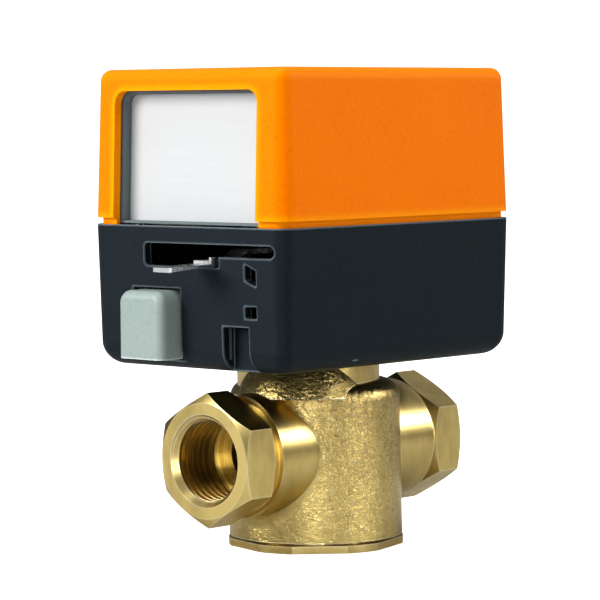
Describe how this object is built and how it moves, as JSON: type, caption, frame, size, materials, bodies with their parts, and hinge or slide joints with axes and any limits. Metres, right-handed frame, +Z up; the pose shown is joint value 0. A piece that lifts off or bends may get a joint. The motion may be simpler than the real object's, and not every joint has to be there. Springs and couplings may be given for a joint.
{
  "type": "motorized zone valve actuator",
  "caption": "Motorized zone valve: boxed spring-return actuator head with manual lever and release button on a brass body with inline threaded ports.",
  "frame": {"origin": "centre of the bottom cap's flat underside, on the valve body's upright axis", "axes": "+Z up along the body's axis, -Y out of the front port and the front of the actuator with its lever and window, +Y out of the rear port, +X to the right seen from the front"},
  "size_m": [0.0608, 0.0963, 0.112],
  "materials": {
    "forged_brass": "forged and shot-blasted, satin",
    "turned_brass": "machined, semi-bright",
    "stainless_steel": "ground, bright",
    "spring_steel": "drawn, dark",
    "zinc_plated_steel": "bright zinc plate",
    "motor_steel": "plated steel can, satin",
    "black_rubber": "smooth nitrile",
    "orange_plastic": "fine spark-eroded grain",
    "charcoal_plastic": "fine spark-eroded grain",
    "grey_plastic": "satin",
    "button_plastic": "satin",
    "white_plate": "satin white with a faint brushed grain",
    "white_nylon": "satin",
    "black_plastic": "satin",
    "wire_insulation": "glossy PVC"
  },
  "bodies": {
    "valve": {"valve_body": "forged_brass", "bottom_cap": "turned_brass", "bottom_cap_oring": "black_rubber", "seat_ring": "turned_brass", "stem_bushing": "turned_brass", "base_housing": "charcoal_plastic", "cover": "orange_plastic", "label_carrier": "grey_plastic", "label_plate": "white_plate", "chassis_plate": "zinc_plated_steel", "chassis_pillars": "zinc_plated_steel", "chassis_screws": "zinc_plated_steel", "motor_gearbox": "zinc_plated_steel", "motor_can": "motor_steel", "motor_screws": "zinc_plated_steel", "terminal_block": "white_nylon", "terminal_screws": "zinc_plated_steel", "earth_screw": "turned_brass", "motor_leads": "wire_insulation", "end_switch": "black_plastic", "switch_screws": "zinc_plated_steel", "return_spring": "spring_steel", "spring_anchor": "stainless_steel", "button_spring": "spring_steel", "cable_grommet": "black_rubber"},
    "drive": {"valve_stem": "stainless_steel", "stem_orings": "black_rubber", "stem_clips": "spring_steel", "plug_arm": "turned_brass", "plug_pin": "stainless_steel", "plug_ball": "black_rubber", "sector_gear": "zinc_plated_steel", "sector_hub": "turned_brass", "lever_rivets": "turned_brass", "switch_cam": "white_nylon", "manual_lever": "zinc_plated_steel"},
    "pinion": {"motor_pinion": "turned_brass", "motor_output_shaft": "stainless_steel"},
    "release": {"release_button": "button_plastic", "latch_slide": "zinc_plated_steel"},
    "plunger": {"switch_plunger": "white_nylon"}
  },
  "joints": [
    {"name": "stem_turn", "type": "hinge", "parent": "valve", "child": "drive", "pos_m": [0.01, -0.00225, 0], "axis": [0, 0, 1], "range_deg": [-19, 0], "deforming": ["return_spring"]},
    {"name": "pinion_turn", "type": "hinge", "parent": "valve", "child": "pinion", "pos_m": [-0.00652, 0.02134, 0], "axis": [0, 0, 1], "range_deg": [-2, 97]},
    {"name": "button_press", "type": "slide", "parent": "valve", "child": "release", "axis": [0, 1, 0], "range_m": [0, 0.0025], "stiffness_N_per_m": 600, "springref_m": -0.003, "deforming": ["button_spring"]},
    {"name": "plunger_press", "type": "slide", "parent": "valve", "child": "plunger", "axis": [0, 1, 0], "range_m": [0, 0.0008], "stiffness_N_per_m": 300, "springref_m": -0.001}
  ],
  "couplings": [
    {"joint": "pinion_turn", "follows": "stem_turn", "ratio": -5}
  ]
}
